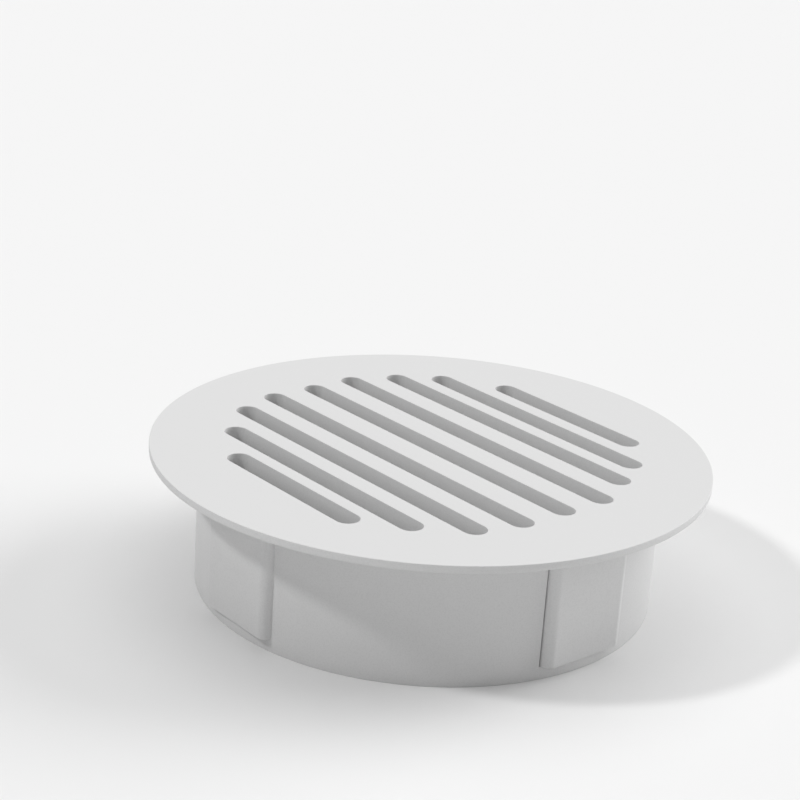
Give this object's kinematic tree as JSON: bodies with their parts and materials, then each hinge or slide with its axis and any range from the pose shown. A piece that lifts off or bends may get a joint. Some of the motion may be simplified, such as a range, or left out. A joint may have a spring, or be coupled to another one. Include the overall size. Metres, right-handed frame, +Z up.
{
  "type": "round boat vent cover",
  "caption": "Round slotted vent cover with a thin overhanging flange on a short hollow collar with flat locating pads.",
  "frame": {"origin": "centre of the collar's foot, on the surface that the cover stands on", "axes": "+Z up through the slotted deck, along the collar's axis; the slots run along Y"},
  "size_m": [0.116, 0.116, 0.03],
  "materials": {
    "moulded_plastic": "matt, very fine even grain, light neutral grey"
  },
  "bodies": {
    "root": {"vent_cover": "moulded_plastic"}
  },
  "joints": []
}
